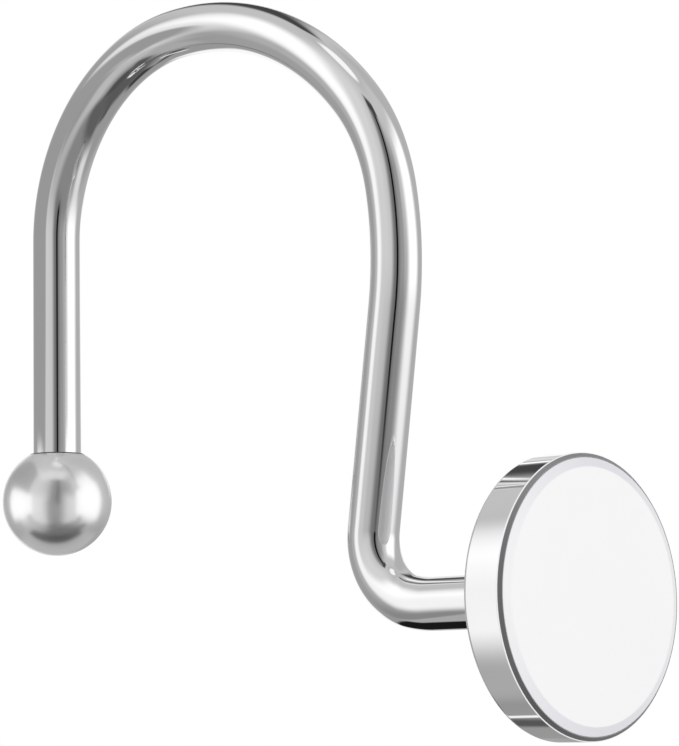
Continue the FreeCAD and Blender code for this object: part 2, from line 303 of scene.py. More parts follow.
class MaterialGraph(Graph):
    """The nodes of a new material."""

    def __init__(self, name: str) -> None:
        """Make the material with a single node, for the place on the piece.

        Args:
            name: the material's name.
        """
        self.material = bpy.data.materials.new(name)
        self.material.use_nodes = True
        super().__init__(self.material.node_tree)
        self.tree.nodes.clear()
        self.place = self.add("ShaderNodeTexCoord").outputs["Object"]

    def show(self, shader: Socket) -> Material:
        """Make a shader the material's surface and return the material."""
        self.add("ShaderNodeOutputMaterial", {"Surface": shader})
        return self.material


class EffectGroup(Graph):
    """A shader node group with one output, which materials place with their own values."""

    def __init__(self, name: str, inputs: dict, output: str, kind: SocketKind) -> None:
        """Make the group's sockets.

        Args:
            name: the group's name.
            inputs: name and value of each input: a number, a colour, or None for a vector.
            output: name of the output.
            kind: kind of the output.
        """
        super().__init__(bpy.data.node_groups.new(name, "ShaderNodeTree"))
        new_socket = self.tree.interface.new_socket
        for label, value in inputs.items():
            if value is None:
                new_socket(label, in_out="INPUT", socket_type=SocketKind.VECTOR.value)
            else:
                plain = SocketKind.COLOUR if isinstance(value, tuple) else SocketKind.NUMBER
                new_socket(label, in_out="INPUT", socket_type=plain.value).default_value = value
        new_socket(output, in_out="OUTPUT", socket_type=kind.value)
        self.source = self.add("NodeGroupInput").outputs

    def give(self, value: Socket) -> "EffectGroup":
        """Link a value to the group's output and return the group."""
        self.add("NodeGroupOutput", {0: value})
        return self

    def use(self, graph: Graph, label: str = "", **values: Value) -> Socket:
        """Place the group in a material.

        Args:
            graph: the material's graph.
            label: a label for the node.
            values: input names, with _ for a space, to plain values or output sockets.

        Returns:
            The group's output.
        """
        inputs = {name.replace("_", " "): value for name, value in values.items()}
        return graph.result("ShaderNodeGroup", inputs, node_tree=self.tree, label=label)


# Noise lies round 0.5. These ranges of it are spread from one end of an effect to the other.
HAZE_RANGE = (0.35, 0.65)
DRIFT_RANGE = (0.3, 0.7)
# How much finer the grain of a ripple is than its swell.
GRAIN_FINENESS = 9.0


@cache
def polish_haze() -> EffectGroup:
    """Make the cloudy change of gloss that buffing leaves.

    Returns:
        The group, which puts out Roughness.
    """
    inputs = {"Place": None, "Scale": 200.0, "Lowest": 0.03, "Highest": 0.08}
    group = EffectGroup("polish_haze", inputs, "Roughness", SocketKind.NUMBER)
    source = group.source
    cloud = group.noise(source["Place"], source["Scale"], detail=4.0, roughness=0.55)
    return group.give(group.spread(cloud, *HAZE_RANGE, source["Lowest"], source["Highest"]))


@cache
def surface_ripple() -> EffectGroup:
    """Make the faint unevenness that plating and moulding leave under the gloss.

    Returns:
        The group, which puts out Normal.
    """
    inputs = {"Place": None, "Scale": 300.0, "Depth": 0.001, "Grain": 0.2}
    group = EffectGroup("surface_ripple", inputs, "Normal", SocketKind.VECTOR)
    source = group.source
    swell = group.noise(source["Place"], source["Scale"], detail=1.0)
    fine_scale = group.math("MULTIPLY", source["Scale"], GRAIN_FINENESS)
    fine = group.noise(source["Place"], fine_scale, detail=2.0)
    height = group.math("ADD", swell, group.math("MULTIPLY", fine, source["Grain"]))
    relief = {"Height": height, "Distance": source["Depth"], "Strength": 1.0}
    return group.give(group.result("ShaderNodeBump", relief))


@cache
def tone_drift() -> EffectGroup:
    """Make the slow drift between two near tones that a real finish has.

    Returns:
        The group, which puts out Colour.
    """
    tones = {"First": (1.0, 1.0, 1.0, 1.0), "Second": (0.9, 0.9, 0.9, 1.0)}
    inputs = {"Place": None, "Scale": 120.0, **tones}
    group = EffectGroup("tone_drift", inputs, "Colour", SocketKind.COLOUR)
    source = group.source
    cloud = group.noise(source["Place"], source["Scale"], detail=3.0)
    return group.give(group.blend(group.spread(cloud, *DRIFT_RANGE), source["First"], source["Second"]))


@cache
def soft_window() -> EffectGroup:
    """Make the mask of a soft-edged patch, placed by two numbers, such as azimuth and elevation.

    Returns:
        The group, which puts out Mask.
    """
    sides = (("Azimuth", "Half Width", "Fade Across"), ("Elevation", "Half Height", "Fade Up"))
    inputs = {label: 1.0 for side in sides for label in (*side, "At " + side[0])}
    group = EffectGroup("soft_window", inputs, "Mask", SocketKind.NUMBER)
    source = group.source
    masks = []
    for here, half, fade in sides:
        offset = group.math("SUBTRACT", source[here], source["At " + here])
        distance = group.math("ABSOLUTE", group.math("WRAP", offset, HALF_TURN, -HALF_TURN))
        rim = group.math("MULTIPLY", source[fade], 0.5)
        ends = [group.math(operation, source[half], rim) for operation in ("ADD", "SUBTRACT")]
        masks.append(group.step(distance, *ends))
    return group.give(group.math("MULTIPLY", *masks))


# Width of the soft edge between two finishes on one piece, in metres.
SOFT_EDGE = 0.0001


@dataclass(frozen=True)
class Finish:
    """A surface with a slowly drifting tone and a cloudy gloss.

    Args:
        name: the material's name.
        tone: its colour.
        deep_tone: colour that it drifts to in patches.
        drift_scale: how many such patches there are to the metre.
        lowest: lowest roughness.
        highest: highest roughness.
        haze_scale: how many patches of gloss there are to the metre.
        ripple_scale: how many ripples there are to the metre, or 0 for none.
        ripple_depth: depth of the ripples, in metres.
        grain: share of fine grain on the ripples.
        body: name and value of each further input of the shader.
    """

    name: str
    tone: Colour
    deep_tone: Colour
    drift_scale: float
    lowest: float
    highest: float
    haze_scale: float
    ripple_scale: float = 0.0
    ripple_depth: float = 0.0
    grain: float = 0.0
    body: Inputs = ()

    def make(self) -> Material:
        """Make the material.

        Returns:
            The material.
        """
        graph = MaterialGraph(self.name)
        place = graph.place
        tone = tone_drift().use(
            graph, Place=place, Scale=self.drift_scale, First=self.tone, Second=self.deep_tone
        )
        haze = polish_haze().use(
            graph, Place=place, Scale=self.haze_scale, Lowest=self.lowest, Highest=self.highest
        )
        inputs = {"Base Color": self.tint(graph, tone), "Roughness": haze, **dict(self.body)}
        if self.ripple_scale:
            inputs["Normal"] = surface_ripple().use(
                graph, Place=place, Scale=self.ripple_scale, Depth=self.ripple_depth, Grain=self.grain
            )
        surface = graph.result("ShaderNodeBsdfPrincipled", inputs)
        for share, layer in self.layers(graph):
            surface = graph.cover(share, surface, layer)
        return graph.show(surface)

    def tint(self, graph: MaterialGraph, tone: Socket) -> Socket:
        """Return the surface's colour, which is the drifting tone unless a finish says otherwise."""
        return tone

    def layers(self, graph: MaterialGraph) -> list[Layer]:
        """Return the layers on the surface, which are none unless a finish says otherwise."""
        return []


@dataclass(frozen=True)
class ChromeFinish(Finish):
    """Bright chrome plating on polished steel."""

    tone: Colour = (0.93, 0.93, 0.935)
    deep_tone: Colour = (0.90, 0.90, 0.91)
    drift_scale: float = 150.0
    lowest: float = 0.02
    highest: float = 0.05
    haze_scale: float = 260.0
    ripple_scale: float = 160.0
    ripple_depth: float = 0.00001
    grain: float = 0.01
    body: Inputs = (("Metallic", 1.0),)

    def metal(self, graph: Graph, tone: Colour, roughness: float) -> Socket:
        """Return the shader of plain metal of this colour and roughness."""
        inputs = {"Base Color": tone, "Roughness": roughness, **dict(self.body)}
        return graph.result("ShaderNodeBsdfPrincipled", inputs)


@dataclass(frozen=True)
class BallFinish(ChromeFinish):
    """Chrome under a satin veil, with a ring of painted shade where the wire goes in.

    Args:
        centre: the ball's centre, in metres.
        seat_shade_radius: radius that the painted shade reaches, in metres.
        seat_shade_tone: colour of the painted shade.
        veil: share of the satin veil.
        veil_roughness: roughness of the veil.
    """

    lowest: float = 0.15
    highest: float = 0.2
    centre: tuple[float, float, float] = (0.0, 0.0, 0.0)
    seat_shade_radius: float = 0.0023
    seat_shade_tone: Colour = (0.07, 0.07, 0.07)
    veil: float = 0.45
    veil_roughness: float = 0.5

    def layers(self, graph: MaterialGraph) -> list[Layer]:
        """Lay the veil and the painted shade at the wire's seat over the metal.

        Args:
            graph: the material's graph.

        Returns:
            Share and shader of each layer.
        """
        places = {0: graph.place, 1: self.centre}
        offset = graph.split(graph.result("ShaderNodeVectorMath", places, operation="SUBTRACT"))
        across = graph.distance(offset["X"], offset["Y"])
        # Painted shade: a dark ring round the bore's mouth, where the wire goes into the ball.
        near = graph.step(across, self.seat_shade_radius + SOFT_EDGE, self.seat_shade_radius)
        shade_at_seat = graph.math("MULTIPLY", near, graph.math("GREATER_THAN", offset["Z"], 0.0))
        return [
            (self.veil, self.metal(graph, self.tone, self.veil_roughness)),
            (shade_at_seat, self.metal(graph, self.seat_shade_tone, self.veil_roughness)),
        ]


@dataclass(frozen=True)
class CupFinish(ChromeFinish):
    """Chrome with a satin back, a painted highlight line round the front edge and a lip inside it
    darkened with painted shade.

    Args:
        back_end: distance along X where the satin back ends, in metres.
        back_roughness: roughness of the back.
        lip_start: distance along X where the lip's slope starts, in metres.
        highlight_width: width of the painted highlight line, in metres.
        edge_highlight_tone: colour of the painted highlight line.
        lip_shade_tone: colour of the lip, darkened as painted shade.
        lip_roughness: roughness of the lip.
    """

    back_end: float = 0.0
    back_roughness: float = 0.4
    lip_start: float = 0.0
    highlight_width: float = 0.00007
    edge_highlight_tone: Colour = (0.95, 0.95, 0.95)
    lip_shade_tone: Colour = (0.45, 0.45, 0.46)
    lip_roughness: float = 0.5

    def layers(self, graph: MaterialGraph) -> list[Layer]:
        """Lay the satin back, the painted highlight line and the painted shade of the lip over the
        metal.

        Args:
            graph: the material's graph.

        Returns:
            Share and shader of each layer.
        """
        along = graph.split(graph.place)["X"]
        highlight_end = self.lip_start + self.highlight_width
        fade = self.highlight_width / 4
        behind = graph.step(along, self.back_end, self.back_end - SOFT_EDGE)
        # Painted highlight: a thin bright line at the front edge; painted shade: the darker lip inside
        # it.
        line = {"Base Color": self.edge_highlight_tone, "Roughness": 0.4}
        on_highlight = graph.step(along, self.lip_start - fade, self.lip_start)
        on_lip_shade = graph.step(along, highlight_end - fade, highlight_end)
        return [
            (behind, self.metal(graph, self.tone, self.back_roughness)),
            (on_highlight, graph.result("ShaderNodeBsdfPrincipled", line)),
            (on_lip_shade, self.metal(graph, self.lip_shade_tone, self.lip_roughness)),
        ]


@dataclass(frozen=True)
class WhiteFaceFinish(Finish):
    """Glossy white face with a slightly cooler bevel that is painted darker above and below as shade.

    Args:
        bevel_start: distance from the disc's axis where the bevel starts, in metres.
        axis_height: height of the disc's axis, in metres.
        bevel_shade_tone: colour of the bevel and the edge above and below, a cool tint darkened as
            painted shade.
        side_tone: colour of the bevel at the two sides, where the painted shade fades out.
    """

    tone: Colour = (0.925, 0.925, 0.93)
    deep_tone: Colour = (0.911125, 0.911125, 0.91605)
    drift_scale: float = 90.0
    lowest: float = 0.12
    highest: float = 0.2
    haze_scale: float = 180.0
    ripple_scale: float = 400.0
    ripple_depth: float = 0.000004
    grain: float = 0.05
    body: Inputs = (("IOR", 1.49),)
    bevel_start: float = 0.0
    axis_height: float = 0.0
    bevel_shade_tone: Colour = (0.76, 0.76, 0.80)
    side_tone: Colour = (0.91, 0.91, 0.92)

    def tint(self, graph: MaterialGraph, tone: Socket) -> Socket:
        """Colour the bevel: cooler than the face, and darkened above and below with painted shade.

        Args:
            graph: the material's graph.
            tone: the drifting tone of the face.

        Returns:
            The colour of face and bevel.
        """
        parts = graph.split(graph.place)
        height = graph.math("SUBTRACT", parts["Z"], self.axis_height)
        radius = graph.distance(height, parts["Y"])
        on_bevel = graph.step(radius, self.bevel_start - SOFT_EDGE, self.bevel_start + SOFT_EDGE / 2)
        # Painted shade: the bevel grows darker towards its top and bottom.
        upright_shade = graph.math("POWER", graph.math("DIVIDE", height, radius), 2.0)
        return graph.blend(on_bevel, tone, graph.blend(upright_shade, self.side_tone, self.bevel_shade_tone))


@dataclass(frozen=True)
class ClearGlueFinish(Finish):
    """Cured clear glue, slightly warm and cloudy."""

    tone: Colour = (0.86, 0.84, 0.76)
    deep_tone: Colour = (0.92, 0.91, 0.87)
    drift_scale: float = 500.0
    lowest: float = 0.2
    highest: float = 0.4
    haze_scale: float = 700.0
    body: Inputs = (("IOR", 1.5), ("Transmission Weight", 0.4))


def dress(piece: Object, material: Material) -> None:
    """Give a piece its material.

    Args:
        piece: the piece.
        material: its finish.
    """
    piece.data.materials.clear()
    piece.data.materials.append(material)


@dataclass(frozen=True)
class Station:
    """A place on the wire's centre line, in millimetres in the hook's plane.

    Args:
        x: forward of the rod's axis.
        z: above the rod's axis.
        heading: direction of travel, in radians from +X towards +Z.
    """

    x: float
    z: float
    heading: float


@dataclass
class BentWire:
    """The round wire, from inside the ball to the cup's socket. Lengths are millimetres, turns degrees.

    Args:
        diameter: the wire's diameter.
        crown_radius: centre line radius of the arc that sits on the rod.
        bends: (radius, turn) of each arc from the crown to the long leg, all to the right.
        foot_radius: centre line radius of the tight bend at the bottom.
        ease: (radius, turn) of the last arc, where the bend runs out into the stub.
        leg_bottom: height of the short leg's cut end.
        stub_height: height of the stub that carries the cup.
        stub_end: how far forward the stub's cut end lies.
        end_chamfer: chamfer on the cut ends.
        sides: facets round the wire.
        step: largest turn between two stations of an arc, in degrees.
    """

    leg_bottom: float
    stub_height: float
    stub_end: float
    diameter: float = 4.0
    crown_radius: float = 15.6
    bends: tuple[tuple[float, float], ...] = ((15.6, 86.0), (24.2, 53.0), (15.3, 31.0), (29.4, 18.2))
    foot_radius: float = 5.0
    ease: tuple[float, float] = (12.0, 10.0)
    end_chamfer: float = 0.3
    sides: int = 96
    step: float = 1.25

    def centre_line(self) -> list[Station]:
        """Walk along the centre line from the short leg's cut end to the stub's.

        Returns:
            The stations, closer together round the bends.
        """
        stations = [Station(-self.crown_radius, z, math.pi / 2) for z in (self.leg_bottom, 0.0)]
        for radius, turn in self.bends:
            stations += self.arc(stations[-1], radius, -turn)
        last = stations[-1]
        ease_radius, ease_turn = self.ease
        ease_share = math.cos(math.radians(ease_turn))
        foot_height = self.foot_radius * (ease_share - math.cos(last.heading))
        foot_height += ease_radius * (1 - ease_share)
        leg = (last.z - self.stub_height - foot_height) / -math.sin(last.heading)
        foot_x = last.x + leg * math.cos(last.heading)
        foot_z = last.z + leg * math.sin(last.heading)
        stations.append(Station(foot_x, foot_z, last.heading))
        stations += self.arc(stations[-1], self.foot_radius, -math.degrees(last.heading) - ease_turn)
        stations += self.arc(stations[-1], ease_radius, ease_turn)
        stations.append(Station(self.stub_end, self.stub_height, 0.0))
        return stations

    def arc(self, start: Station, radius: float, turn: float) -> list[Station]:
        """Follow an arc from a station.

        Args:
            start: where the arc starts.
            radius: its radius.
            turn: how far it turns, in degrees, to the left where positive.

        Returns:
            The arc's stations after the start.
        """
        reach = math.copysign(radius, turn)
        centre_x = start.x - reach * math.sin(start.heading)
        centre_z = start.z + reach * math.cos(start.heading)
        count = math.ceil(abs(turn) / self.step)
        headings = [start.heading + math.radians(turn) * i / count for i in range(1, count + 1)]
        return [
            Station(centre_x + reach * math.sin(heading), centre_z - reach * math.cos(heading), heading)
            for heading in headings
        ]

    def build(self) -> Object:
        """Build the wire with chamfered cut ends.

        Returns:
            The wire.
        """
        radius = self.diameter / 2
        chamfer = self.end_chamfer
        start, *between, end = self.centre_line()
        rings = [(start, 0.0, 0.0), (start, 0.0, radius - chamfer), (start, chamfer, radius)]
        rings += [(station, 0.0, radius) for station in between]
        rings += [(end, -chamfer, radius), (end, 0.0, radius - chamfer), (end, 0.0, 0.0)]
        return loft("chrome_wire", [self.ring(*ring) for ring in rings])

    def ring(self, station: Station, ahead: float, radius: float) -> list[Vector]:
        """Place a ring square to the centre line, or a single point for radius 0.

        Args:
            station: the place on the centre line.
            ahead: how far past the station the ring lies.
            radius: the ring's radius.

        Returns:
            The ring's points, in metres.
        """
        along = Vector((math.cos(station.heading), 0.0, math.sin(station.heading)))
        outward = Vector((-along.z, 0.0, along.x))
        centre = Vector((station.x, 0.0, station.z)) + along * ahead
        points = []
        for i in range(self.sides if radius else 1):
            angle = math.tau * i / self.sides
            spoke = outward * math.cos(angle) + Vector((0.0, 1.0, 0.0)) * math.sin(angle)
            points.append((centre + spoke * radius) * MM)
        return points


@dataclass
class TurnedPart:
    """A part turned about an axis. Lengths are millimetres.

    Args:
        diameter: outside diameter.
        origin: the point on the axis that lengths along it are measured from, in metres.
    """

    name: ClassVar[str]
    axis: ClassVar[TurnAxis] = TurnAxis.ALONG_X
    facets_round: ClassVar[int] = 256
    diameter: float
    origin: Vector

    def profile(self) -> list[Point2]:
        """Return the profile's points as (along, out), from the axis back to the axis."""
        raise NotImplementedError

    def build(self) -> Object:
        """Turn the profile about the axis.

        Returns:
            The piece.
        """
        rings = []
        for along, out in self.profile():
            ring = []
            for i in range(self.facets_round if out > ON_AXIS else 1):
                angle = math.tau * i / self.facets_round
                across = Vector((math.cos(angle), math.sin(angle))) * out * MM
                if self.axis is TurnAxis.ALONG_X:
                    place = Vector((along * MM, across.x, across.y))
                else:
                    place = Vector((across.x, across.y, along * MM))
                ring.append(self.origin + place)
            rings.append(ring)
        return loft(self.name, rings)


@dataclass
class EndBall(TurnedPart):
    """The ball on the free end with its bore for the wire, measured from its centre.

    Args:
        bore_depth: depth of the bore from the ball's crown.
        bore_radius: radius of the bore.
        mouth_chamfer: chamfer at the bore's mouth.
        facets_down: facets from pole to pole.
    """

    name: ClassVar[str] = "chrome_ball"
    axis: ClassVar[TurnAxis] = TurnAxis.ALONG_Z
    facets_round: ClassVar[int] = 192
    bore_depth: float = 4.6
    bore_radius: float = 2.02
    mouth_chamfer: float = 0.15
    facets_down: int = 96

    def profile(self) -> list[Point2]:
        """Draw the ball from its lowest point round to the floor of its bore.

        Returns:
            The profile's points.
        """
        radius = self.diameter / 2
        mouth = self.bore_radius + self.mouth_chamfer
        mouth_angle = math.asin(mouth / radius)
        span = math.pi - mouth_angle
        angles = [span * i / self.facets_down for i in range(self.facets_down + 1)]
        profile = [(-radius * math.cos(angle), radius * math.sin(angle)) for angle in angles]
        bore_top = radius * math.cos(mouth_angle) - self.mouth_chamfer
        bore_floor = radius - self.bore_depth
        profile += [(bore_top, self.bore_radius), (bore_floor, self.bore_radius), (bore_floor, 0.0)]
        return profile


@dataclass
class BezelCup(TurnedPart):
    """The thin metal cup that holds the face, measured from its back.

    Args:
        depth: from the back to the lip.
        wall: thickness of the side wall.
        floor: thickness of the floor.
        back_round: radius round the back edge.
        lip_land: flat at the top of the lip.
        lip_drop: height of the lip's outward chamfer.
        lip_break: radius on the outer edge of that chamfer.
        socket_depth: depth of the wire's socket.
        socket_radius: radius of that socket.
        collar_height: height and radius of the flared collar.
        collar_edge: thickness of the collar at its tip.
        collar_facets: facets in the collar's hollow round.
    """

    name: ClassVar[str] = "chrome_cup"
    depth: float
    wall: float = 0.35
    floor: float = 1.2
    back_round: float = 0.3
    lip_land: float = 0.05
    lip_drop: float = 0.3
    lip_break: float = 0.05
    socket_depth: float = 0.6
    socket_radius: float = 2.02
    collar_height: float = 0.7
    collar_edge: float = 0.15
    collar_facets: int = 16

    def profile(self) -> list[Point2]:
        """Draw the cup from its socket over the collar, the back and the lip to its floor.

        Returns:
            The profile's points.
        """
        outer = self.diameter / 2
        inner = outer - self.wall
        shell = rounded_profile(
            [
                Corner(0.0, outer - 2 * self.back_round),
                Corner(0.0, outer, self.back_round),
                Corner(self.depth - self.lip_drop, outer, self.lip_break),
                Corner(self.depth, inner + self.lip_land),
                Corner(self.depth, inner),
                Corner(self.floor, inner),
            ]
        )
        collar = self.collar_height
        profile = [(self.socket_depth, 0.0), (self.socket_depth, self.socket_radius)]
        profile.append((-collar, self.socket_radius))
        round_centre = self.socket_radius + self.collar_edge + collar
        for i in range(self.collar_facets + 1):
            angle = math.pi / 2 * i / self.collar_facets
            profile.append((collar * (math.sin(angle) - 1), round_centre - collar * math.cos(angle)))
        return [*profile, *shell, (self.floor, 0.0)]


@dataclass
class FaceInsert(TurnedPart):
    """The white disc with its bevelled edge, measured from its back.

    Args:
        thickness: from the back to the flat face.
        back_chamfer: chamfer round the back.
        bevel_width: width of the bevel round the face.
        bevel_height: height of that bevel.
        edge_round: radius where the bevel meets the face.
        rim_round: radius where the bevel meets the side.
    """

    name: ClassVar[str] = "white_disc"
    thickness: float
    back_chamfer: float = 0.2
    bevel_width: float = 0.67
    bevel_height: float = 0.23
    edge_round: float = 0.4
    rim_round: float = 0.06

    def profile(self) -> list[Point2]:
        """Draw the disc from the middle of its back to the middle of its face.

        Returns:
            The profile's points.
        """
        outer = self.diameter / 2
        return rounded_profile(
            [
                Corner(0.0, 0.0),
                Corner(0.0, outer - self.back_chamfer),
                Corner(self.back_chamfer, outer),
                Corner(self.thickness - self.bevel_height, outer, self.rim_round),
                Corner(self.thickness, outer - self.bevel_width, self.edge_round),
                Corner(self.thickness, 0.0),
            ]
        )

    def finish(self) -> WhiteFaceFinish:
        """Return the white finish, with its bevel where this disc has it."""
        start = (self.diameter / 2 - self.bevel_width) * MM
        return WhiteFaceFinish("white_enamel", bevel_start=start, axis_height=self.origin.z)


@dataclass(frozen=True)
class LightPanel:
    """A soft-edged patch of the light tent, seen from the hook with the camera straight ahead.

    Args:
        name: what the patch is.
        azimuth: degrees to the right of the camera.
        elevation: degrees above the camera.
        half_width: half its width, in degrees.
        half_height: half its height, in degrees.
        fade_across: width of its soft sides, in degrees.
        fade_up: width of its soft top and bottom, in degrees.
        level: how bright it is, where 1 is white.
    """

    name: str
    azimuth: float
    elevation: float
    half_width: float
    half_height: float
    fade_across: float
    fade_up: float
    level: float

    def mask(self, graph: Graph, azimuth: Socket, elevation: Socket) -> Socket:
        """Place the patch's mask in a material.

        Args:
            graph: the material's graph.
            azimuth: where the shaded point lies across.
            elevation: where it lies upward.

        Returns:
            The mask, which is 1 on the patch and 0 off it.
        """
        return soft_window().use(
            graph,
            label=self.name,
            Azimuth=azimuth,
            Elevation=elevation,
            At_Azimuth=self.azimuth,
            At_Elevation=self.elevation,
            Half_Width=self.half_width,
            Half_Height=self.half_height,
            Fade_Across=self.fade_across,
            Fade_Up=self.fade_up,
        )


# More than half a turn to each side, so that a panel has no ends.
ALL_ROUND = 400.0

PANELS = tuple(
    LightPanel(*row)
    for row in (
        ("upper walls", 0, 50, ALL_ROUND, 29, 1, 26, 0.57),
        ("low walls", 0, -46, ALL_ROUND, 29, 1, 24, 0.33),
        ("tent floor", 0, -90, ALL_ROUND, 27, 1, 17, 0.105),
        ("left front wall", -43, 32, 34, 42, 30, 34, 0.6),
        ("left front wall top", -56, 38, 24, 26, 30, 30, 0.7),
        ("left low wall", -28, -13, 20, 17, 16, 16, 0.46),
        ("left lower light", -62, -38, 35, 13, 25, 16, 0.52),
        ("shade on the left", -60, -14, 16, 10, 10, 12, 0.33),
        ("right front wall", 23, 20, 14, 31, 14, 31, 0.32),
        ("front low wall", 12, -26, 32, 30, 25, 15, 0.25),
        ("front floor", 27, -59, 50, 13, 24, 14, 0.12),
        ("dark band on the left", -92, -68, 14, 12, 12, 8, 0.1),
        ("dark band on the right", 92, -68, 14, 12, 12, 8, 0.1),
        ("slit surround", 2, 30, 15, 34, 20, 12, 0.17),
        ("slit for the lens", 6, 33, 4, 34, 5, 8, 0.0),
        ("top of the slit", 5, 64, 16, 4, 8, 4, 0.06),
        ("left softbox side", -80, 4, 10, 34, 12, 22, 0.98),
        ("left softbox", -85, 34, 17, 20, 26, 22, 1.1),
        ("right softbox foot", 81, -18, 15, 20, 18, 16, 0.75),
        ("right softbox", 82, 22, 25, 26, 24, 22, 1.15),
        ("right back wall", 131, 42, 25, 27, 20, 26, 0.47),
        ("left back wall", -125, -1, 18, 35, 12, 25, 0.36),
        ("dark card behind", -174, 49.5, 14, 23.5, 16, 5, 0.06),
        ("white bar behind", -176, 24, 10, 1.2, 8, 1, 1.15),
        ("grey bar behind", -176, 21.5, 10, 1.2, 8, 1, 0.3),
        ("dark card low right", 165, -57, 17, 8, 12, 8, 0.05),
        ("dark card low left", -45, -71, 30, 8, 16, 12, 0.08),
        ("table edge", -151, -50, 26, 3, 10, 3.5, 0.1),
        ("low left glow", -108, -48, 18, 9, 16, 8, 0.42),
        ("light line by the table edge", -153, -51, 1.8, 7, 2, 3, 1.0),
    )
)

OPENINGS = tuple(
    LightPanel(*row)
    for row in (
        ("open top", 0, 90, ALL_ROUND, 9, 1, 4, 1.0),
        ("open back left", -166, -3, 14, 24, 10, 8, 1.0),
        ("open back right", 168, 6, 12, 6, 6, 5, 1.0),
    )
)


@dataclass(frozen=True)
class SoftCard:
    """A small soft-edged card close to the hook, seen only in the chrome and only from its front.

    Args:
        name: the card's name.
        place: its centre from the rod's axis, as millimetres right, up and back towards the camera.
        azimuth: degrees to the right of the camera that it faces.
        elevation: degrees above the camera that it faces.
        half_width: half its width, in millimetres.
        half_height: half its height, in millimetres.
        fade: width of its soft edges, in millimetres.
        level: how bright it is, where 1 is white.
        reach: how far off it still shows, in millimetres.
    """

    name: str
    place: tuple[float, float, float]
    azimuth: float
    elevation: float
    half_width: float
    half_height: float
    fade: float
    level: float
    reach: float


CARDS = tuple(
    SoftCard(*row)
    for row in (
        ("ball_card_left", (-28, -24.2, -1), 90, 0, 10, 6.7, 5, 1.2, 24),
        ("ball_card_right", (3, -22.8, -0.75), -90, 0, 8.7, 7.8, 5, 1.2, 20),
        ("ball_fill_left", (-23.8, -28.4, 9), 180, 0, 7.4, 10.4, 7, 0.85, 28),
        ("ball_fill_right", (2.8, -28.4, 9), 180, 0, 8.7, 10.4, 7, 0.75, 28),
        ("ball_roof", (-14.5, 4, 10.6), 0, -85, 14, 6.6, 6, 0.85, 38),
        ("ball_smile", (-11.2, -37.2, -3.7), 0, 85, 12, 2.6, 3.5, 0.02, 20),
        ("ball_floor", (-11, -39, -14), 0, 85, 16, 10, 6, 0.5, 30),
        ("left_flag", (-27.5, 0.25, -8.8), 90, 0, 13.2, 17.7, 4, 0.34, 30),
        ("foot_shade", (1, -50, 19), 90, 0, 11, 12.5, 11, 0.26, 28),
        ("low_flag", (13.3, -47.7, 8.1), -42.7, 60, 9, 10, 3, 0.01, 32),
    )
)

# Name of each lamp, and the azimuth and elevation that it hangs at.
LAMPS = (("left_lamp", -84.0, 30.0), ("right_lamp", 60.0, 20.0))


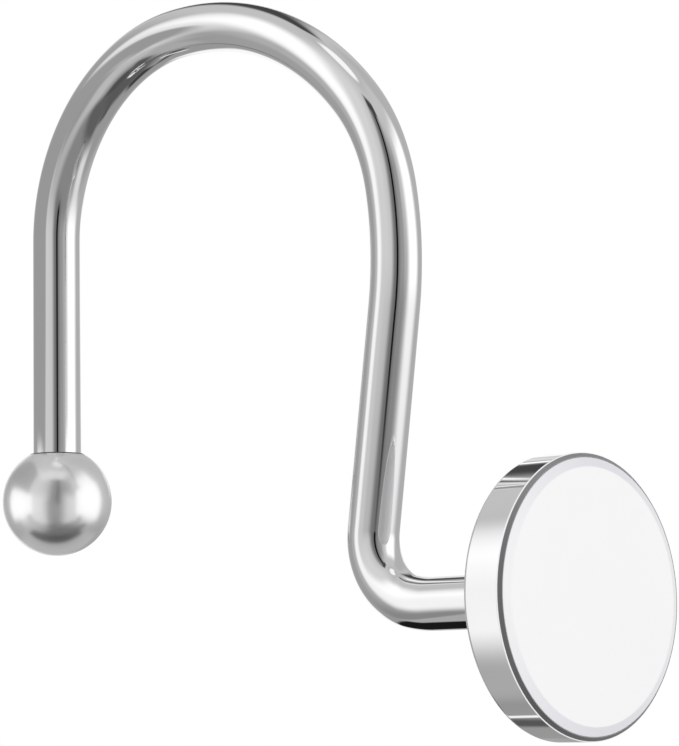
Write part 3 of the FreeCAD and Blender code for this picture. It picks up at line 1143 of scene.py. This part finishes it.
@dataclass
class Studio:
    """The camera, the plain world and floor, the lamps, and the light tent that the chrome mirrors.

    Args:
        camera_place: the camera's place, in metres.
        camera_right: the picture's right-hand direction.
        camera_up: the picture's upward direction.
        lens: focal length, in millimetres.
        tent_radius: radius of the light tent, in metres.
        tent_level: brightness of its plain walls.
        floor_drop: how far the floor lies below the hook, in metres.
        floor_fade: distances, in metres, between which the floor fades into the white room.
        room_level: strength of the world's soft light.
        card_fade: how far before its reach a card starts to fade, in millimetres.
        card_slant: slants, from 0 head-on to 1 edge-on, between which a card comes to show.
        lamp_level: strength of each lamp, in watts.
        lamp_distance: distance of the lamps from the hook, in metres.
    """

    camera_place: Vector = Vector((0.178418, -0.174447, -0.040527))
    camera_right: Vector = Vector((0.73256, 0.68058, -0.01279))
    camera_up: Vector = Vector((0.0851, -0.07292, 0.9937))
    lens: float = 149.94
    tent_radius: float = 1.5
    tent_level: float = 0.45
    floor_drop: float = 0.06
    floor_fade: Point2 = (0.15, 0.6)
    room_level: float = 0.84
    card_fade: float = 3.0
    card_slant: Point2 = (0.75, 0.5)
    lamp_level: float = 0.7
    lamp_distance: float = 0.7

    def turn(self) -> Matrix:
        """Return the camera's turn: its columns are right, up and back."""
        back = self.camera_right.cross(self.camera_up)
        return Matrix((self.camera_right, self.camera_up, back)).transposed()

    def direction(self, azimuth: float, elevation: float) -> Vector:
        """Return the direction at these degrees right of and above the camera."""
        angles = Euler((math.radians(-elevation), math.radians(azimuth), 0.0))
        return self.turn() @ angles.to_matrix() @ Vector((0.0, 0.0, 1.0))

    def set_camera(self) -> None:
        """Put the camera at the photograph's place and make it the scene's camera."""
        data = bpy.data.cameras.new("photo_camera")
        data.lens = self.lens
        data.sensor_width = 36.0
        data.clip_start = 0.01
        camera = bpy.data.objects.new("photo_camera", data)
        camera.matrix_world = Matrix.Translation(self.camera_place) @ self.turn().to_4x4()
        bpy.context.scene.collection.objects.link(camera)
        bpy.context.scene.camera = camera

    def set_world(self) -> None:
        """Make the world white to look at and mirror, and a plain soft light otherwise."""
        world = bpy.data.worlds.new("plain_room")
        world.use_nodes = True
        world.node_tree.nodes.clear()
        graph = Graph(world.node_tree)
        light, shown = (
            graph.result("ShaderNodeBackground", {"Color": WHITE, "Strength": strength})
            for strength in (self.room_level, 1.0)
        )
        graph.add("ShaderNodeOutputWorld", {"Surface": graph.cover(graph.seen(), light, shown)})
        bpy.context.scene.world = world

    def add_floor(self, lowest: float) -> None:
        """Lay a pale floor under the hook, which fades into the white room far away.

        Args:
            lowest: height of the hook's lowest point, in metres.
        """
        graph = MaterialGraph("pale_floor")
        parts = graph.split(graph.place)
        far = graph.step(graph.distance(parts["X"], parts["Y"]), *self.floor_fade)
        matt = {"Base Color": (0.94, 0.94, 0.94), "Roughness": 0.9, "Specular IOR Level": 0.0}
        paint = graph.result("ShaderNodeBsdfPrincipled", matt)
        share = graph.math("MULTIPLY", graph.seen(), far)
        build = bmesh.new()
        bmesh.ops.create_grid(build, x_segments=1, y_segments=1, size=2.0)
        floor = finish_mesh("pale_floor", build)
        floor.location.z = lowest - self.floor_drop
        floor.data.materials.append(graph.show(graph.cover(share, paint, graph.glow(WHITE))))
        floor.visible_glossy = False

    def add_tent(self, centre: Vector) -> None:
        """Hang the light tent round the hook, for the chrome to mirror.

        Args:
            centre: the middle of the hook, in metres.
        """
        graph = MaterialGraph("light_tent")
        parts = graph.split(graph.place)
        azimuth = graph.math("DEGREES", graph.math("ARCTAN2", parts["X"], parts["Z"]))
        height = graph.math("DIVIDE", parts["Y"], self.tent_radius)
        elevation = graph.math("DEGREES", graph.math("ARCSINE", height))
        colour = (self.tent_level,) * 3
        for panel in PANELS:
            share = panel.mask(graph, azimuth, elevation)
            colour = graph.blend(share, colour, (panel.level,) * 3)
        cloth = graph.glow(colour)
        clear = graph.result("ShaderNodeBsdfTransparent")
        for opening in OPENINGS:
            cloth = graph.cover(opening.mask(graph, azimuth, elevation), cloth, clear)
        build = bmesh.new()
        bmesh.ops.create_icosphere(build, subdivisions=5, radius=self.tent_radius)
        self.hang(build, graph.show(cloth), Matrix.Translation(centre) @ self.turn().to_4x4())

    def add_card(self, card: SoftCard) -> None:
        """Stand a small card near the hook, for the chrome alone.

        Args:
            card: the card.
        """
        graph = MaterialGraph(card.name)
        parts = graph.split(graph.place)
        patch = LightPanel(
            card.name, 0, 0, card.half_width, card.half_height, card.fade, card.fade, card.level
        )
        across, up = (graph.math("DIVIDE", parts[axis], MM) for axis in "XY")
        length = graph.add("ShaderNodeLightPath").outputs["Ray Length"]
        near = graph.step(length, card.reach * MM, (card.reach - self.card_fade) * MM)
        backfacing = graph.add("ShaderNodeNewGeometry").outputs["Backfacing"]
        slant = graph.add("ShaderNodeLayerWeight", {"Blend": 0.5}).outputs["Facing"]
        steep = graph.step(slant, *self.card_slant)
        front = graph.math("MULTIPLY", graph.math("SUBTRACT", 1.0, backfacing), steep)
        shown = graph.math("MULTIPLY", near, front)
        share = graph.math("MULTIPLY", patch.mask(graph, across, up), shown)
        clear = graph.result("ShaderNodeBsdfTransparent")
        material = graph.show(graph.cover(share, clear, graph.glow((card.level,) * 3)))

        build = bmesh.new()
        wide = (card.half_width + card.fade / 2) * MM
        high = (card.half_height + card.fade / 2) * MM
        corners = ((-wide, -high), (wide, -high), (wide, high), (-wide, high))
        build.faces.new([build.verts.new((x, y, 0.0)) for x, y in corners])
        normal = self.direction(card.azimuth, card.elevation)
        right = self.camera_up.cross(normal).normalized()
        turn = Matrix((right, normal.cross(right), normal)).transposed().to_4x4()
        self.hang(build, material, Matrix.Translation(self.turn() @ Vector(card.place) * MM) @ turn)

    def hang(self, build: BMesh, material: Material, place: Matrix) -> None:
        """Hang a piece of the studio for the mirror images in the chrome alone.

        Args:
            build: the piece's mesh, to use up.
            material: its material, whose name it takes.
            place: its place and turn.
        """
        material.cycles.emission_sampling = "NONE"
        piece = finish_mesh(material.name, build)
        piece.matrix_world = place
        piece.data.materials.append(material)
        piece.visible_camera = False
        piece.visible_diffuse = False
        piece.visible_transmission = False
        piece.visible_shadow = False

    def add_lamps(self, centre: Vector) -> None:
        """Hang a soft lamp at each softbox, for the white face and the floor.

        Args:
            centre: the middle of the hook, in metres.
        """
        for name, azimuth, elevation in LAMPS:
            data = bpy.data.lights.new(name, "AREA")
            data.shape = "RECTANGLE"
            data.size, data.size_y = 0.4, 0.5
            data.energy = self.lamp_level
            lamp = bpy.data.objects.new(name, data)
            away = self.direction(azimuth, elevation)
            turn = away.to_track_quat("Z", "Y").to_matrix().to_4x4()
            lamp.matrix_world = Matrix.Translation(centre + away * self.lamp_distance) @ turn
            lamp.visible_glossy = False
            bpy.context.scene.collection.objects.link(lamp)

    def set_up(self) -> None:
        """Set up the whole studio round the hook."""
        low, high = CAD_BOX
        centre = (low + high) / 2
        self.set_camera()
        self.set_world()
        self.add_floor(low.z)
        self.add_tent(centre)
        for card in CARDS:
            self.add_card(card)
        self.add_lamps(centre)
        bpy.context.scene.view_settings.view_transform = "Standard"


def build_hook() -> None:
    """Build and dress every piece of the hook on its CAD node."""
    ball_low, ball_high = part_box("end_ball")
    cup_low, cup_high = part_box("bezel_cup")
    disc_low, disc_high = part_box("face_insert")
    wire_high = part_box("hook_wire")[1]
    axis_height = centre_of("face_insert").z

    # The bore cuts off the ball's top, so its centre is a radius above its lowest point.
    ball_radius = (ball_high.x - ball_low.x) / 2
    ball_centre = Vector((ball_low.x + ball_radius, 0.0, ball_low.z + ball_radius))
    wire = BentWire(
        leg_bottom=(ball_centre.z + ball_radius) / MM - EndBall.bore_depth,
        stub_height=axis_height / MM,
        stub_end=wire_high.x / MM,
    )
    ball = EndBall(diameter=2 * ball_radius / MM, origin=ball_centre)
    cup_back = Vector((cup_low.x + BezelCup.collar_height * MM, 0.0, axis_height))
    cup = BezelCup(
        diameter=(cup_high.z - cup_low.z) / MM,
        origin=cup_back,
        depth=(cup_high.x - cup_back.x) / MM,
    )
    disc = FaceInsert(
        diameter=(disc_high.z - disc_low.z) / MM,
        origin=Vector((disc_low.x, 0.0, axis_height)),
        thickness=(disc_high.x - disc_low.x) / MM,
    )
    cup_finish = CupFinish(
        "chrome_on_cup",
        back_end=cup_back.x + cup.back_round * MM,
        lip_start=cup_high.x - cup.lip_drop * MM,
    )
    jobs: tuple[tuple[BentWire | TurnedPart, Finish, Slot, str], ...] = (
        (wire, ChromeFinish("chrome_on_wire"), Slot.WIRE, "hook_wire"),
        (ball, BallFinish("chrome_on_ball", centre=tuple(ball_centre)), Slot.BALL, "end_ball"),
        (cup, cup_finish, Slot.CUP, "bezel_cup"),
        (disc, disc.finish(), Slot.FACE, "face_insert"),
    )
    for part, finish, slot, node in jobs:
        piece = part.build()
        dress(piece, finish.make())
        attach(piece, BODY)
        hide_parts(node)
        log.info("%s: %d faces, replaces %s", piece.name, len(piece.data.polygons), node)

    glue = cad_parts["glue_layer"]
    dress(glue, ClearGlueFinish("cured_glue").make())
    log.info("glue_layer: dressed")


def main() -> None:
    """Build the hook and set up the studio."""
    logging.basicConfig(level=logging.INFO, format="%(name)s: %(message)s")
    build_hook()
    Studio().set_up()
    log.info("studio: set up")


if __name__ == "__main__":
    main()
